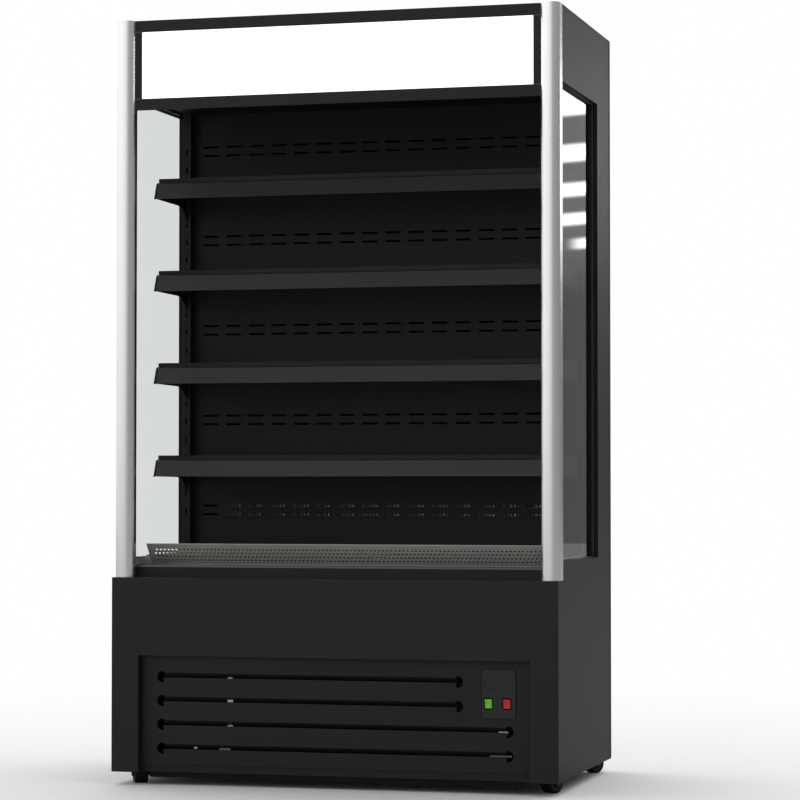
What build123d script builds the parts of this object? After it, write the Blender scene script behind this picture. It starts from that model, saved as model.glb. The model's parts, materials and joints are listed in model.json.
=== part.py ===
from build123d import *
import os
from math import atan2, cos, degrees, hypot, radians, sin

# Open multideck display fridge, in millimetres.
# Origin: on the floor under the middle of the cabinet. Front faces -Y, +X to the shopper's right, +Z up.

# ---------------------------------------------------------------- overall
WIDTH = 1200
DEPTH = 700
HEIGHT = 2018
SKIRT_Z = 34  # lower edge of the body panels above the floor
BASE_TOP = 544  # top of the machine compartment's front panel
SETBACK = 60  # the upper cabinet stands this far behind the front panel

# ---------------------------------------------------------------- walls and sheets
WALL = 31  # insulated side wall
BACK_WALL = 50
ROOF = 60
TUB = 30  # insulated floor and front wall of the chilled tub
SHEET = 2  # folded outer sheet
THIN = 1.5  # folded inner sheet
SEAT = 0.3  # gap at rest between a loose piece and its seat
FIT = 0.05  # radial clearance of a pin in its bore

# ---------------------------------------------------------------- side window
WINDOW_LOW = 592
WINDOW_HEAD = 198  # solid wall above each window
COLUMN = 180  # depth of the solid rear column of each side
GLASS = 6
GLASS_IN = 9  # the pane stands this far outside the wall's inner face
GLASS_LAP = 10  # how far the pane runs behind the edge of its opening
GASKET = 3
GASKET_T = 4

# ---------------------------------------------------------------- base frame and castors
FLOOR_Z = 72  # underside of the machine compartment floor
RAIL_H = 30
RAIL_W = 46
RECESS = 30  # the service grille's mounting flange stands this far behind the front panel
PLATE = 64
PLATE_T = 3
KINGPIN_SIDE = 48  # kingpins' distance inside the cabinet's sides
KINGPIN_FRONT = 82  # and behind its front
KINGPIN_REAR = 80  # and in front of its back
KINGPIN_R = 4
NUT_R = 7
NUT_T = 3
HEAD_R = 31
HEAD_T = 8.7
TRAIL = 18
WHEEL_R = 25
TREAD_R = 4
WHEEL_W = 36
LEG_T = 2.5
LEG_GAP = 0.4
AXLE_R = 4
AXLE_HEAD = 3
PEDAL_PIN = (33, 51)
PEDAL_PIN_R = 2.5
CASTOR_TURNS = {"front_left": -60, "front_right": 60, "rear_left": 150, "rear_right": 55}
BRAKED = ("front_left", "front_right")

# ---------------------------------------------------------------- front panel, grille and controls
POST = 74  # width of the front panel's posts beside the grille
RECESS_TOP = 340
FLANGE = 14
GRILLE_GAP = 1.5
GRILLE_LOW = 54
GRILLE_LIP = 8
LOUVRE_H = 30
LOUVRE_Z = 96.5
LOUVRE_PITCH = 62.3
LOUVRE_LEFT = -482
LOUVRE_LONG = 478
LOUVRE_SHORT = 346
LOUVRE_BLADE = 13  # flush lower part of each louvre
LOUVRE_BROW = 3  # flush strip above the opening
LOUVRE_INSET = 18  # the blade stops this far from each rounded end
LOUVRE_DROP = 14  # how far the bent upper lip reaches back
FASCIA_X = (395.5, 483.5)
FASCIA_Z = (193.5, 316)
FASCIA_T = 2
FASCIA_LAP = 4.5
DISPLAY_X = (402, 474)
DISPLAY_Z = (262, 293)
DISPLAY_DEEP = 24
ROCKER_W = 18
ROCKER_H = 24
ROCKER_Z = 230.7
ROCKERS = {"rocker_switch_green": 413, "rocker_switch_red": 461}
ROCKER_GAP = 0.5
ROCKER_TILT = 7  # half of the switch's full travel, in degrees
HOUSING_T = 2
HOUSING_DEEP = 16

# ---------------------------------------------------------------- header and roof
HEADER_BACK = 31  # header face stands this far in front of the upper cabinet
HEADER_H = 238.5  # from the top down to the lower edge of the header's hanging front lip
HEADER_LIP = 17.5  # the lip hangs this far below the header's floor
HEADER_BOX = 59
SIGN_TOP_BAR = 30.5
SIGN_LOW_BAR = 30.5
SIGN_STILE = 18
SIGN_T = 3
SIGN_LAP = 9
LAMP_T = 8
LAMP_H = 12
LAMPS = 3
PILLAR_W = 51
PILLAR_BULGE = 17
PILLAR_WALL = 2.5
PILLAR_SLOT = 10
PILLAR_FLANK = 15  # depth of the inner flank in front of its chamfer
PILLAR_SKEW = 10  # the cavity's corner stands this far inside the wall's face

# ---------------------------------------------------------------- chilled space
TUB_Z = 440  # underside of the tub floor
SILL_RISE = 30
SILL_DEEP = 100
RISER_LEAN = 47
RISER_RISE = 55
RISER_END = 4  # gap between the riser's end and the pillar's inner face
HOLE_D = 6.5
HOLE_PITCH = 11
HOLE_ROW = 12.5
HOLE_ROWS = 4
HOLE_EDGE = 13.8
DECK_Z = 600
DECK_FRONT = -180
DECK_GAP = 3
DECK_FLANGE = 18
DECK_RAIL = 20
REAR_PANEL = 144  # front face of the air panel behind the shelves
UPRIGHT_D = 30
UPRIGHT_W = 23
AIR_SLOT_L = 44
AIR_SLOT_H = 6
AIR_SLOTS = 16
AIR_ROW = 24
HONEYCOMB_D = 62
HONEYCOMB_H = 20
CELL_X = 14
CELL_Y = 12
CELL_WALL = 2
CEILING_RISE = 46.5  # the ceiling's underside stands this far above the header's lower edge
CEILING_SIDE = 46

# ---------------------------------------------------------------- shelves
SHELVES = 4
TOP_BAY = 206  # clear height between the top shelf and the ceiling
LOW_BAY_EXTRA = 16  # the bay above the deck is this much taller than the equal bays above it
SHELF_FRONT = -108
SHELF_GAP = 4  # behind the tray, so that its front can be tilted up
TRAY_LIP = 26
TRAY_SIDE = 20
TRAY_GAP = 9.5  # between each end of the tray and the side wall
BRACKET_GAP = 12.75  # from the side wall to the bracket's inner face
BRACKET_T = 2.5
BRACKET_LOW = 57
BRACKET_FLAT = 36
BRACKET_ARC = 100
BRACKET_HEEL = 105
BRACKET_TURN = (66, 42)  # middle and end of the lower edge's arc, in degrees
HOOK_NECK = 10
HOOK_NOSE = 3.5
HOOK_DROP = 10
LUG_REACH = 6
SLOT_W = 5
SLOT_H = 16
SLOTS_PER_PITCH = 5
LUG_SLOTS = 1  # the lug sits this many slots below the hook
RAIL_GAP = 9
RAIL_JOG = 9
RAIL_TOP = 12
RAIL_LEAN = 19
RAIL_T = 3

# ---------------------------------------------------------------- machinery
COIL_X = (-420, 180)
COIL_Y = (-286, -232)
COIL_HIGH = 330
FIN_PITCH = 10
FIN_SLOT = 7
FIN_STRIP = 8
SHROUD_DEEP = 26
COND_FAN_X = -120
COND_FAN_Z = 204
COND_FAN_HOLE = 122
COND_FAN_TIP = 105
COND_HUB = (-212, -184)
COND_HUB_R = 28
COND_MOTOR = (-180, -130)
COND_MOTOR_R = 35
COND_SHAFT_R = 4
EVAP_X = 480
EVAP_Y = (190, 284)
EVAP_Z = (640, 860)
EVAP_PLATE = 2
FAN_PLATE_Y = 100
EVAP_FAN_X = 260
EVAP_FAN_Z = 533
EVAP_FAN_HOLE = 58
EVAP_FAN_TIP = 50
EVAP_HUB = (74, 98)
EVAP_HUB_R = 15
EVAP_MOTOR_R = 20
EVAP_MOTOR_L = 28
EVAP_SHAFT_R = 3
BLADE_T = 2
BLADE_PITCH = 35
COMP_X = 250
COMP_Y = 170
COMP_R = 75
COMP_FOOT = 12
COMP_H = 190
COMP_DOME = 48
PIPE_R = 5
PIPE_BEND = 14
DISCHARGE_Z = 176

# ---------------------------------------------------------------- derived places
HALF = WIDTH / 2
FRONT = -DEPTH / 2
BACK = DEPTH / 2
INNER = HALF - WALL
KINGPINS = {
    "front_left": (KINGPIN_SIDE - HALF, FRONT + KINGPIN_FRONT),
    "front_right": (HALF - KINGPIN_SIDE, FRONT + KINGPIN_FRONT),
    "rear_left": (KINGPIN_SIDE - HALF, BACK - KINGPIN_REAR),
    "rear_right": (HALF - KINGPIN_SIDE, BACK - KINGPIN_REAR),
}
PANE_IN = INNER + GLASS_IN
PANE_OUT = PANE_IN + GLASS
UPPER_FRONT = FRONT + SETBACK
COLUMN_Y = BACK - COLUMN
FLANGE_Y = FRONT + RECESS
GRILLE_BACK = FLANGE_Y - SHEET
GRILLE_FACE = GRILLE_BACK - SHEET
OPENING_X = HALF - POST
FLOOR_TOP = FLOOR_Z + SHEET
RAIL_TOP_Z = FLOOR_TOP + RAIL_H
COVER_Y = BACK - 10
BACK_FACE = BACK - BACK_WALL
ROOF_Z = HEIGHT - ROOF
TUB_TOP = TUB_Z + TUB
SILL_TOP = BASE_TOP + SILL_RISE
SILL_REAR = UPPER_FRONT + SILL_DEEP
WINDOW_HIGH = HEIGHT - WINDOW_HEAD
HEADER_LOW = HEIGHT - HEADER_H
HEADER_FLOOR = HEADER_LOW + HEADER_LIP
HEADER_FACE = UPPER_FRONT - HEADER_BACK
HEADER_REAR = HEADER_FACE + HEADER_BOX
PILLAR_IN = HALF - PILLAR_W
UPRIGHT_Y = REAR_PANEL - UPRIGHT_D
UPRIGHT_X = INNER - UPRIGHT_W
CEILING_Z = HEADER_LOW + CEILING_RISE
TOP_SHELF = CEILING_Z - TOP_BAY
SHELF_PITCH = (TOP_SHELF - DECK_Z - LOW_BAY_EXTRA) / SHELVES
SHELF_TOPS = [TOP_SHELF - i * SHELF_PITCH for i in range(SHELVES)]
TRAY_SPAN = INNER - TRAY_GAP
RAIL_SPAN = INNER - RAIL_GAP
BRACKET_X = INNER - BRACKET_GAP
TRAY_REAR = UPRIGHT_Y - SHELF_GAP
HOOK_Z = THIN + HOOK_NECK + SEAT  # slot bottom below the shelf's top
SLOT_PITCH = SHELF_PITCH / SLOTS_PER_PITCH
SLOT_X = BRACKET_X + BRACKET_T / 2


def block(x, y, z, mode=Mode.ADD):
    """A box between two limits along each axis, in the part being built."""
    middle = ((x[0] + x[1]) / 2, (y[0] + y[1]) / 2, (z[0] + z[1]) / 2)
    with Locations(middle):
        Box(abs(x[1] - x[0]), abs(y[1] - y[0]), abs(z[1] - z[0]), mode=mode)


def at_y(y):
    """The plane at this depth, whose normal looks out of the front, with X right and Z up."""
    return Plane.XZ.offset(-y)


def save(part, name):
    part.label = name
    export_step(part, f"parts/{name}.step")


def save_group(parts, name):
    """Several separate solids in one file."""
    solids = [solid for part in parts for solid in part.solids()]
    save(Compound(children=solids), name)


# ================================================================ base frame and castors
def base_frame():
    with BuildPart() as frame:
        skin = HALF - SHEET
        block((-skin, skin), (FLANGE_Y + SHEET, COVER_Y), (FLOOR_Z, FLOOR_TOP))
        for side in (-1, 1):
            block(
                (side * (skin - RAIL_W), side * skin),
                (FLANGE_Y + SHEET, COVER_Y),
                (FLOOR_TOP, RAIL_TOP_Z),
            )
        block(
            (-(skin - RAIL_W), skin - RAIL_W),
            (COVER_Y - RAIL_H, COVER_Y),
            (FLOOR_TOP, RAIL_TOP_Z),
        )
    with BuildPart() as apron:
        block(
            (-(OPENING_X - SHEET), OPENING_X - SHEET),
            (FLANGE_Y, FLANGE_Y + SHEET),
            (SKIRT_Z, FLOOR_TOP),
        )
    plates = [castor_plate(x, y) for x, y in KINGPINS.values()]
    save_group([frame.part, apron.part] + plates, "base_frame")


def castor_plate(x, y):
    """Top plate with its kingpin, welded under the floor."""
    low = FLOOR_Z - PLATE_T
    head_low = low - SEAT - HEAD_T
    with BuildPart() as plate:
        with BuildSketch(Plane.XY.offset(low)):
            with Locations((x, y)):
                RectangleRounded(PLATE, PLATE, 6)
        extrude(amount=PLATE_T)
        with BuildSketch(Plane.XY.offset(low)):
            with Locations((x, y)):
                Circle(KINGPIN_R)
        extrude(amount=-(HEAD_T + 2 * SEAT + NUT_T))
        with BuildSketch(Plane.XY.offset(head_low - SEAT)):
            with Locations((x, y)):
                RegularPolygon(NUT_R, 6)
        extrude(amount=-NUT_T)
    return plate.part


def castor_fork():
    """Swivel head and two legs, in the castor's own frame: kingpin on Z, wheel trailing along +X."""
    top = FLOOR_Z - PLATE_T - SEAT
    inner = WHEEL_W / 2 + LEG_GAP
    with BuildPart() as fork:
        with BuildSketch(Plane.XY.offset(top - HEAD_T)):
            Circle(HEAD_R)
        extrude(amount=HEAD_T)
        for side in (-1, 1):
            with BuildSketch(at_y(side * inner + (LEG_T if side > 0 else 0))):
                with BuildLine():
                    Polyline(
                        (-15, top - 2), (22, top - 2), (PEDAL_PIN[0] + 4, PEDAL_PIN[1] + 5),
                        (PEDAL_PIN[0] + 4, PEDAL_PIN[1] - 5), (TRAIL + 8, WHEEL_R - 1),
                        (TRAIL, WHEEL_R - 8), (TRAIL - 8, WHEEL_R - 3), (-15, top - 14),
                        close=True,
                    )
                make_face()
                with Locations((TRAIL, WHEEL_R)):
                    Circle(AXLE_R + FIT, mode=Mode.SUBTRACT)
                with Locations(PEDAL_PIN):
                    Circle(PEDAL_PIN_R + FIT, mode=Mode.SUBTRACT)
            extrude(amount=LEG_T)
        with BuildSketch(Plane.XY.offset(top)):
            Circle(KINGPIN_R + FIT)
        extrude(amount=-HEAD_T, mode=Mode.SUBTRACT)
    return fork.part


def castor_axle():
    half = WHEEL_W / 2 + LEG_GAP + LEG_T
    with BuildPart() as axle:
        with BuildSketch(at_y(half)):
            with Locations((TRAIL, WHEEL_R)):
                Circle(AXLE_R)
        extrude(amount=2 * half)
        for start in (half + AXLE_HEAD, -half):
            with BuildSketch(at_y(start)):
                with Locations((TRAIL, WHEEL_R)):
                    RegularPolygon(AXLE_R + 3, 6)
            extrude(amount=AXLE_HEAD)
    return axle.part


def castor_wheel():
    with BuildPart() as wheel:
        with BuildSketch(at_y(WHEEL_W / 2)):
            with Locations((TRAIL, WHEEL_R)):
                Circle(WHEEL_R)
        extrude(amount=WHEEL_W)
        fillet(wheel.edges().filter_by(GeomType.CIRCLE), TREAD_R)
        with BuildSketch(at_y(WHEEL_W / 2)):
            with Locations((TRAIL, WHEEL_R)):
                Circle(AXLE_R + FIT)
        extrude(amount=WHEEL_W, mode=Mode.SUBTRACT)
    return wheel.part


def brake_pedal():
    """Cam lever between the fork's legs; its corner comes down on the tyre."""
    px, pz = PEDAL_PIN
    with BuildPart() as pedal:
        with BuildSketch(at_y(WHEEL_W / 2)):
            with BuildLine():
                Polyline(
                    (px - 3.5, pz + 3.5), (px + 2, pz + 4.5), (px + 7.5, pz + 2), (px + 7.5, pz - 1),
                    (px + 4.5, pz - 2.5), (px + 2.8, pz - 5.7), (px - 1.5, pz - 3.6), close=True,
                )
            make_face()
        extrude(amount=WHEEL_W)
        pin_half = WHEEL_W / 2 + LEG_GAP + LEG_T + 1
        with BuildSketch(at_y(pin_half)):
            with Locations(PEDAL_PIN):
                Circle(PEDAL_PIN_R)
        extrude(amount=2 * pin_half)
    return pedal.part


def castors():
    for name, (x, y) in KINGPINS.items():
        place = Location((x, y, 0), (0, 0, CASTOR_TURNS[name]))
        save_group([castor_fork().moved(place), castor_axle().moved(place)], f"castor_fork_{name}")
        save(castor_wheel().moved(place), f"castor_wheel_{name}")
        if name in BRAKED:
            save(brake_pedal().moved(place), f"brake_pedal_{name}")


# ================================================================ outer body
def side_panel(side, name):
    """Foam-cored side wall, open in front of its window, where the pillar closes it."""
    with BuildPart() as wall:
        with BuildSketch(Plane.YZ.offset(min(side * INNER, side * HALF))):
            with BuildLine():
                Polyline(
                    (FRONT + SHEET, RAIL_TOP_Z), (BACK, RAIL_TOP_Z), (BACK, HEIGHT), (UPPER_FRONT, HEIGHT),
                    (UPPER_FRONT, WINDOW_HIGH), (COLUMN_Y, WINDOW_HIGH), (COLUMN_Y, WINDOW_LOW),
                    (UPPER_FRONT, WINDOW_LOW), (UPPER_FRONT, BASE_TOP - SHEET),
                    (FRONT + SHEET, BASE_TOP - SHEET), close=True,
                )
            make_face()
        extrude(amount=WALL)
        lap = GLASS_LAP + SEAT
        block(
            (side * PANE_IN, side * PANE_OUT),
            (UPPER_FRONT, COLUMN_Y + lap),
            (WINDOW_LOW - lap, WINDOW_HIGH + lap),
            mode=Mode.SUBTRACT,
        )
    with BuildPart() as skirt:
        block((side * (HALF - SHEET), side * HALF), (FRONT + SHEET, BACK), (SKIRT_Z, RAIL_TOP_Z))
    save_group([wall.part, skirt.part], name)


def side_glass(side, name):
    with BuildPart() as pane:
        block(
            (side * PANE_IN, side * PANE_OUT),
            (UPPER_FRONT - PILLAR_SLOT + 1, COLUMN_Y + GLASS_LAP),
            (WINDOW_LOW - GLASS_LAP, WINDOW_HIGH + GLASS_LAP),
        )
    save(pane.part, name)


def gasket(side):
    with BuildPart() as ring:
        x = (side * PANE_OUT, side * (PANE_OUT + GASKET_T))
        block(x, (UPPER_FRONT, COLUMN_Y), (WINDOW_LOW, WINDOW_HIGH))
        block(
            x,
            (UPPER_FRONT + GASKET, COLUMN_Y - GASKET),
            (WINDOW_LOW + GASKET, WINDOW_HIGH - GASKET),
            mode=Mode.SUBTRACT,
        )
    return ring.part


def pillar(side, name):
    """Hollow extrusion: convex front, chamfered inner corner, closed top and a slot for the pane."""
    cavity_rear = UPPER_FRONT - PILLAR_SLOT - PILLAR_WALL
    with BuildPart() as post:
        for inset, skew, rear, mode in (
            (0, 0, UPPER_FRONT, Mode.ADD),
            (PILLAR_WALL, PILLAR_SKEW, cavity_rear, Mode.SUBTRACT),
        ):
            with BuildSketch(Plane.XY.offset(BASE_TOP)):
                with BuildLine():
                    left = (PILLAR_IN + inset, HEADER_FACE + inset / 2)
                    right = (HALF - inset, HEADER_FACE + inset / 2)
                    peak = ((PILLAR_IN + HALF) / 2, HEADER_FACE - PILLAR_BULGE + inset)
                    ThreePointArc(left, peak, right)
                    flank = (PILLAR_IN + inset, HEADER_FACE + PILLAR_FLANK - inset)
                    Polyline(right, (HALF - inset, rear), (INNER - skew, rear), flank, left)
                make_face()
            extrude(amount=HEIGHT - BASE_TOP - inset, mode=mode)
        block(
            (PANE_IN - SEAT, PANE_OUT + SEAT),
            (UPPER_FRONT - PILLAR_SLOT, UPPER_FRONT),
            (BASE_TOP, WINDOW_HIGH + GLASS_LAP + SEAT),
            mode=Mode.SUBTRACT,
        )
    part = post.part if side > 0 else post.part.mirror(Plane.YZ)
    save(part, name)


def front_panel():
    """Folded lower front: top band, two posts, recess reveals, grille flange and the ledge on top."""
    x_in = OPENING_X
    x_out = OPENING_X + SHEET
    with BuildPart() as panel:
        block((-HALF, HALF), (FRONT, FRONT + SHEET), (SKIRT_Z, BASE_TOP))
        block((-x_in, x_in), (FRONT, FRONT + SHEET), (SKIRT_Z, RECESS_TOP), mode=Mode.SUBTRACT)
        for side in (-1, 1):
            block((side * x_in, side * x_out), (FRONT + SHEET, FLANGE_Y), (SKIRT_Z, RECESS_TOP + SHEET))
            block(
                (side * (x_in - FLANGE), side * x_out),
                (FLANGE_Y, FLANGE_Y + SHEET),
                (FLOOR_TOP, RECESS_TOP + SHEET),
            )
        block((-x_out, x_out), (FRONT + SHEET, FLANGE_Y), (RECESS_TOP, RECESS_TOP + SHEET))
        block(
            (-x_out, x_out),
            (FLANGE_Y, FLANGE_Y + SHEET),
            (RECESS_TOP - FLANGE, RECESS_TOP + SHEET),
        )
        block((-HALF, HALF), (FRONT + SHEET, UPPER_FRONT), (BASE_TOP - SHEET, BASE_TOP))
    save(panel.part, "front_panel")


def louvre_slot(right, z):
    """Outline of one louvre: rounded ends full height, the lower part of the middle left as a blade."""
    middle = (LOUVRE_LEFT + right) / 2
    with Locations((middle, z)):
        SlotOverall(right - LOUVRE_LEFT, LOUVRE_H, mode=Mode.SUBTRACT)
    with Locations((middle, z - (LOUVRE_H - LOUVRE_BLADE) / 2)):
        Rectangle(right - LOUVRE_LEFT - 2 * LOUVRE_INSET, LOUVRE_BLADE)
    with Locations((middle, z + (LOUVRE_H - LOUVRE_BROW) / 2)):
        Rectangle(right - LOUVRE_LEFT - 2 * LOUVRE_INSET, LOUVRE_BROW)


def service_grille():
    """Pressed grille plate; each louvre's upper lip slopes back and down behind its slot."""
    edge = OPENING_X - GRILLE_GAP
    top = RECESS_TOP - GRILLE_GAP
    slots = [
        (LOUVRE_LONG if i < 2 else LOUVRE_SHORT, LOUVRE_Z + i * LOUVRE_PITCH) for i in range(4)
    ]
    with BuildPart() as grille:
        with BuildSketch(at_y(GRILLE_BACK)):
            with Locations((0, (GRILLE_LOW + top) / 2)):
                Rectangle(2 * edge, top - GRILLE_LOW)
            for right, z in slots:
                louvre_slot(right, z)
            lap = FASCIA_LAP
            with Locations((sum(FASCIA_X) / 2, sum(FASCIA_Z) / 2)):
                Rectangle(
                    FASCIA_X[1] - FASCIA_X[0] - 2 * lap,
                    FASCIA_Z[1] - FASCIA_Z[0] - 2 * lap,
                    mode=Mode.SUBTRACT,
                )
        extrude(amount=SHEET)
        block((-edge, edge), (GRILLE_BACK, FLANGE_Y), (GRILLE_LOW, top))
        block(
            (-(edge - GRILLE_LIP), edge - GRILLE_LIP),
            (GRILLE_BACK, FLANGE_Y),
            (GRILLE_LOW + GRILLE_LIP, top - GRILLE_LIP),
            mode=Mode.SUBTRACT,
        )
        for right, z in slots:
            high = z + LOUVRE_H / 2 - LOUVRE_BROW
            low = z - LOUVRE_H / 2 + LOUVRE_BLADE + SHEET
            back = GRILLE_FACE + LOUVRE_DROP
            with BuildSketch(Plane.YZ.offset(LOUVRE_LEFT + LOUVRE_INSET)):
                with BuildLine():
                    Polyline(
                        (GRILLE_FACE, high + SHEET / 2), (GRILLE_BACK, high + SHEET / 2),
                        (back, low + SHEET), (back, low), (GRILLE_FACE, high - SHEET / 2), close=True,
                    )
                make_face()
            extrude(amount=right - LOUVRE_LEFT - 2 * LOUVRE_INSET)
    save(grille.part, "service_grille")


def control_fascia():
    """Control plate with a display cut-out and two switch housings behind it."""
    cavity_x = ROCKER_W / 2 + ROCKER_GAP
    cavity_z = ROCKER_H / 2 + ROCKER_GAP
    with BuildPart() as fascia:
        block(FASCIA_X, (GRILLE_FACE - FASCIA_T, GRILLE_FACE), FASCIA_Z)
        fillet(fascia.edges().filter_by(Axis.Y), 3)
        block(
            (DISPLAY_X[0] - SEAT, DISPLAY_X[1] + SEAT),
            (GRILLE_FACE - FASCIA_T, GRILLE_FACE),
            (DISPLAY_Z[0] - SEAT, DISPLAY_Z[1] + SEAT),
            mode=Mode.SUBTRACT,
        )
        for x in ROCKERS.values():
            block(
                (x - cavity_x - HOUSING_T, x + cavity_x + HOUSING_T),
                (GRILLE_FACE, GRILLE_FACE + HOUSING_DEEP),
                (ROCKER_Z - cavity_z - HOUSING_T, ROCKER_Z + cavity_z + HOUSING_T),
            )
            block(
                (x - cavity_x, x + cavity_x),
                (GRILLE_FACE - FASCIA_T, GRILLE_FACE + HOUSING_DEEP - HOUSING_T),
                (ROCKER_Z - cavity_z, ROCKER_Z + cavity_z),
                mode=Mode.SUBTRACT,
            )
    save(fascia.part, "control_fascia")


def display_window():
    with BuildPart() as display:
        block(DISPLAY_X, (GRILLE_FACE - FASCIA_T + SEAT, GRILLE_FACE + DISPLAY_DEEP), DISPLAY_Z)
    save(display.part, "display_window")


def rocker_switches():
    """Shallow V-faced rockers, modelled resting with the upper half proud."""
    pivot = GRILLE_FACE + 2
    for name, x in ROCKERS.items():
        tilt = radians(ROCKER_TILT)
        half = ROCKER_H / 2 - ROCKER_GAP
        outline = [(-5.5, half), (-4, 0), (-5.5, -half), (-1.5, -half), (11, -2), (11, 2), (-1.5, half)]
        turned = [(y * cos(tilt) - z * sin(tilt), y * sin(tilt) + z * cos(tilt)) for y, z in outline]
        with BuildPart() as rocker:
            with BuildSketch(Plane.YZ.offset(x - ROCKER_W / 2)):
                with BuildLine():
                    Polyline(*[(pivot + y, ROCKER_Z + z) for y, z in turned], close=True)
                make_face()
            extrude(amount=ROCKER_W)
        save(rocker.part, name)


def back_and_roof():
    with BuildPart() as back:
        block((-INNER, INNER), (BACK_FACE, BACK), (TUB_Z, ROOF_Z))
    save(back.part, "back_wall")
    with BuildPart() as roof:
        block((-INNER, INNER), (HEADER_REAR, BACK), (ROOF_Z, HEIGHT))
    save(roof.part, "roof_panel")


INLET_X = (-480, -430)
INLET_Z = (140, 172)
INLET_LAP = 5
COVER_SLOT = (120, 6)


def rear_cover():
    """Slotted rear cover of the machine compartment, with its six screws."""
    with BuildPart() as cover:
        with BuildSketch(at_y(COVER_Y + SHEET)):
            with Locations((0, (FLOOR_TOP + TUB_Z) / 2)):
                Rectangle(2 * INNER, TUB_Z - FLOOR_TOP)
            with Locations((0, (FLOOR_TOP + TUB_Z) / 2 + 30)):
                with GridLocations(150, 22, 6, 8):
                    SlotOverall(*COVER_SLOT, mode=Mode.SUBTRACT)
            with Locations((sum(INLET_X) / 2, sum(INLET_Z) / 2)):
                Rectangle(INLET_X[1] - INLET_X[0] + 1, INLET_Z[1] - INLET_Z[0] + 1, mode=Mode.SUBTRACT)
        extrude(amount=SHEET)
    with BuildPart() as screws:
        with BuildSketch(at_y(COVER_Y + SHEET + 2)):
            with Locations((0, (FLOOR_TOP + TUB_Z) / 2)):
                with GridLocations(INNER - 20, TUB_Z - FLOOR_TOP - 30, 3, 2):
                    Circle(5)
        extrude(amount=2)
    save_group([cover.part, screws.part], "rear_cover")
    with BuildPart() as inlet:
        block(INLET_X, (COVER_Y - 20, COVER_Y + SHEET), INLET_Z)
        block(
            (INLET_X[0] - INLET_LAP, INLET_X[1] + INLET_LAP),
            (COVER_Y + SHEET, COVER_Y + SHEET + 3),
            (INLET_Z[0] - INLET_LAP, INLET_Z[1] + INLET_LAP),
        )
        block(
            (INLET_X[0] + 11, INLET_X[1] - 11),
            (COVER_Y - 12, COVER_Y + SHEET + 3),
            (INLET_Z[0] + 6, INLET_Z[1] - 6),
            mode=Mode.SUBTRACT,
        )
        for x in (-7, 0, 7):
            block(
                (sum(INLET_X) / 2 + x - 1, sum(INLET_X) / 2 + x + 1),
                (COVER_Y - 12, COVER_Y),
                (sum(INLET_Z) / 2 - 2, sum(INLET_Z) / 2 + 2),
            )
    save(inlet.part, "power_inlet")


# ================================================================ header
def header():
    top = HEIGHT - SIGN_TOP_BAR
    low = HEADER_LOW + SIGN_LOW_BAR
    side = PILLAR_IN - SIGN_STILE
    with BuildPart() as frame:
        block((-PILLAR_IN, PILLAR_IN), (HEADER_FACE, HEADER_REAR), (HEADER_FLOOR, HEIGHT))
        block((-PILLAR_IN, PILLAR_IN), (HEADER_FACE, HEADER_FACE + SIGN_T), (HEADER_LOW, HEADER_FLOOR))
        block(
            (-(PILLAR_IN - SHEET), PILLAR_IN - SHEET),
            (HEADER_FACE + SIGN_T, HEADER_REAR - SHEET),
            (HEADER_FLOOR + SHEET, HEIGHT - SHEET),
            mode=Mode.SUBTRACT,
        )
        block((-side, side), (HEADER_FACE, HEADER_FACE + SIGN_T), (low, top), mode=Mode.SUBTRACT)
        for hand in (-1, 1):
            block((hand * PILLAR_IN, hand * INNER), (UPPER_FRONT, HEADER_REAR), (WINDOW_HIGH, HEIGHT))
    save(frame.part, "header_frame")
    with BuildPart() as sign:
        block(
            (-(side + SIGN_LAP), side + SIGN_LAP),
            (HEADER_FACE + SIGN_T, HEADER_FACE + 2 * SIGN_T),
            (low - SIGN_LAP, top + SIGN_LAP),
        )
    save(sign.part, "sign_panel")
    with BuildPart() as lamps:
        rear = HEADER_REAR - SHEET
        for i in range(LAMPS):
            z = low + (top - low) * (i + 0.5) / LAMPS
            block((-(side - 30), side - 30), (rear - LAMP_T, rear), (z - LAMP_H / 2, z + LAMP_H / 2))
    save(lamps.part, "sign_lamps")


# ================================================================ chilled space
PIPE_X = 500
PIPE_Y = 250


def tub_floor():
    with BuildPart() as tub:
        front = UPPER_FRONT + SHEET
        block((-INNER, INNER), (front, BACK_FACE), (TUB_Z, TUB_TOP))
        block((-INNER, INNER), (front, front + TUB), (TUB_TOP, SILL_TOP - SHEET))
        with BuildSketch(Plane.XY.offset(TUB_Z)):
            with Locations((PIPE_X, PIPE_Y)):
                Circle(PIPE_R + 3)
        extrude(amount=TUB, mode=Mode.SUBTRACT)
    save(tub.part, "tub_floor")


def front_sill():
    with BuildPart() as sill:
        block((-INNER, INNER), (UPPER_FRONT, UPPER_FRONT + SHEET), (TUB_TOP, SILL_TOP))
        block((-INNER, INNER), (UPPER_FRONT, SILL_REAR), (SILL_TOP - SHEET, SILL_TOP))
    save(sill.part, "front_sill")


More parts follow.
